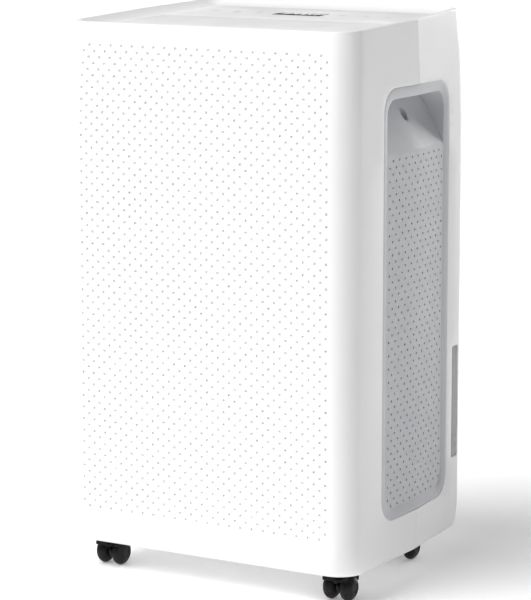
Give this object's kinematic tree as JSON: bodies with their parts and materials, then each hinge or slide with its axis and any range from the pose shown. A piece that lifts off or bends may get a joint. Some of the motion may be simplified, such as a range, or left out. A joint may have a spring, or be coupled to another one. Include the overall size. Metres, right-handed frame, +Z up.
{
  "type": "dehumidifier",
  "caption": "Upright white compressor dehumidifier with a perforated front, recessed grey side grilles with grip pockets, a sunk touch deck, a rear water tank and twin-wheel casters.",
  "frame": {"origin": "on the floor, under the centre of the body's box", "axes": "+X to the right seen from the front, +Y to the rear, +Z up"},
  "size_m": [0.35, 0.286, 0.6038],
  "materials": {
    "white_plastic": "satin",
    "grey_plastic": "satin",
    "black_glass": "polished",
    "circuit_board": "satin",
    "steel": "brushed",
    "black_plastic": "satin",
    "inner_plastic": "satin",
    "smoked_window": "polished",
    "clear_tank": "polished",
    "filter_net": "woven",
    "black_enamel": "gloss",
    "rubber": "matt",
    "fin_aluminium": "satin",
    "copper": "satin",
    "motor_steel": "satin",
    "caster_plastic": "satin",
    "wheel_plastic": "satin"
  },
  "bodies": {
    "housing": {"front_shell": "white_plastic", "rear_shell": "white_plastic", "top_deck": "white_plastic", "top_panel": "white_plastic", "display_window": "black_glass", "control_board": "circuit_board", "touch_springs": "steel", "side_grille_right": "grey_plastic", "side_grille_left": "grey_plastic", "pocket_screws": "steel", "base_pan": "black_plastic", "housing_screws": "steel", "bulkhead": "inner_plastic", "level_window_right": "smoked_window", "level_window_left": "smoked_window", "cord_gland": "black_plastic", "compressor": "black_enamel", "compressor_feet": "rubber", "compressor_nuts": "steel", "evaporator_fins": "fin_aluminium", "evaporator_tubes": "copper", "condenser_fins": "fin_aluminium", "condenser_tubes": "copper", "discharge_pipe": "copper", "suction_pipe": "copper", "filter_drier": "copper", "fan_motor": "motor_steel", "fan_scroll": "inner_plastic", "drip_tray": "inner_plastic", "drain_spigot": "inner_plastic", "electronics_box": "black_plastic", "electronics_lid": "black_plastic", "run_capacitor": "fin_aluminium"},
    "fan": {"fan_shaft": "steel", "fan_impeller": "black_plastic"},
    "tank": {"water_tank": "clear_tank", "tank_cover": "white_plastic", "tank_lid": "inner_plastic", "tank_float_pin": "steel"},
    "float": {"tank_float": "inner_plastic"},
    "filter": {"filter_frame": "white_plastic", "filter_mesh": "filter_net"},
    "caster_fl": {"caster_fl_hood": "caster_plastic", "caster_fl_pins": "steel"},
    "caster_fl_wheel_a_body": {"caster_fl_wheel_a": "wheel_plastic"},
    "caster_fl_wheel_b_body": {"caster_fl_wheel_b": "wheel_plastic"},
    "caster_fr": {"caster_fr_hood": "caster_plastic", "caster_fr_pins": "steel"},
    "caster_fr_wheel_a_body": {"caster_fr_wheel_a": "wheel_plastic"},
    "caster_fr_wheel_b_body": {"caster_fr_wheel_b": "wheel_plastic"},
    "caster_rl": {"caster_rl_hood": "caster_plastic", "caster_rl_pins": "steel"},
    "caster_rl_wheel_a_body": {"caster_rl_wheel_a": "wheel_plastic"},
    "caster_rl_wheel_b_body": {"caster_rl_wheel_b": "wheel_plastic"},
    "caster_rr": {"caster_rr_hood": "caster_plastic", "caster_rr_pins": "steel"},
    "caster_rr_wheel_a_body": {"caster_rr_wheel_a": "wheel_plastic"},
    "caster_rr_wheel_b_body": {"caster_rr_wheel_b": "wheel_plastic"}
  },
  "joints": [
    {"name": "fan_spin", "type": "hinge", "parent": "housing", "child": "fan", "pos_m": [0, 0, 0.424], "axis": [0, 1, 0], "continuous": true},
    {"name": "tank_slide", "type": "slide", "parent": "housing", "child": "tank", "axis": [0, 1, 0], "range_m": [0, 0.14]},
    {"name": "float_hinge", "type": "hinge", "parent": "tank", "child": "float", "pos_m": [-0.07, 0.024, 0.205], "axis": [1, 0, 0], "range_deg": [0, 20]},
    {"name": "filter_slide", "type": "slide", "parent": "housing", "child": "filter", "axis": [0, 1, 0], "range_m": [0, 0.05]},
    {"name": "caster_fl_swivel", "type": "hinge", "parent": "housing", "child": "caster_fl", "pos_m": [-0.142, -0.106, 0.045], "axis": [0, 0, 1], "continuous": true},
    {"name": "caster_fl_wheel_a_roll", "type": "hinge", "parent": "caster_fl", "child": "caster_fl_wheel_a_body", "pos_m": [-0.142, -0.098, 0.014], "axis": [1, 0, 0], "continuous": true},
    {"name": "caster_fl_wheel_b_roll", "type": "hinge", "parent": "caster_fl", "child": "caster_fl_wheel_b_body", "pos_m": [-0.142, -0.098, 0.014], "axis": [1, 0, 0], "continuous": true},
    {"name": "caster_fr_swivel", "type": "hinge", "parent": "housing", "child": "caster_fr", "pos_m": [0.142, -0.106, 0.045], "axis": [0, 0, 1], "continuous": true},
    {"name": "caster_fr_wheel_a_roll", "type": "hinge", "parent": "caster_fr", "child": "caster_fr_wheel_a_body", "pos_m": [0.142, -0.098, 0.014], "axis": [1, 0, 0], "continuous": true},
    {"name": "caster_fr_wheel_b_roll", "type": "hinge", "parent": "caster_fr", "child": "caster_fr_wheel_b_body", "pos_m": [0.142, -0.098, 0.014], "axis": [1, 0, 0], "continuous": true},
    {"name": "caster_rl_swivel", "type": "hinge", "parent": "housing", "child": "caster_rl", "pos_m": [-0.121, 0.074, 0.045], "axis": [0, 0, 1], "continuous": true},
    {"name": "caster_rl_wheel_a_roll", "type": "hinge", "parent": "caster_rl", "child": "caster_rl_wheel_a_body", "pos_m": [-0.121, 0.082, 0.014], "axis": [1, 0, 0], "continuous": true},
    {"name": "caster_rl_wheel_b_roll", "type": "hinge", "parent": "caster_rl", "child": "caster_rl_wheel_b_body", "pos_m": [-0.121, 0.082, 0.014], "axis": [1, 0, 0], "continuous": true},
    {"name": "caster_rr_swivel", "type": "hinge", "parent": "housing", "child": "caster_rr", "pos_m": [0.121, 0.074, 0.045], "axis": [0, 0, 1], "continuous": true},
    {"name": "caster_rr_wheel_a_roll", "type": "hinge", "parent": "caster_rr", "child": "caster_rr_wheel_a_body", "pos_m": [0.121, 0.082, 0.014], "axis": [1, 0, 0], "continuous": true},
    {"name": "caster_rr_wheel_b_roll", "type": "hinge", "parent": "caster_rr", "child": "caster_rr_wheel_b_body", "pos_m": [0.121, 0.082, 0.014], "axis": [1, 0, 0], "continuous": true}
  ]
}
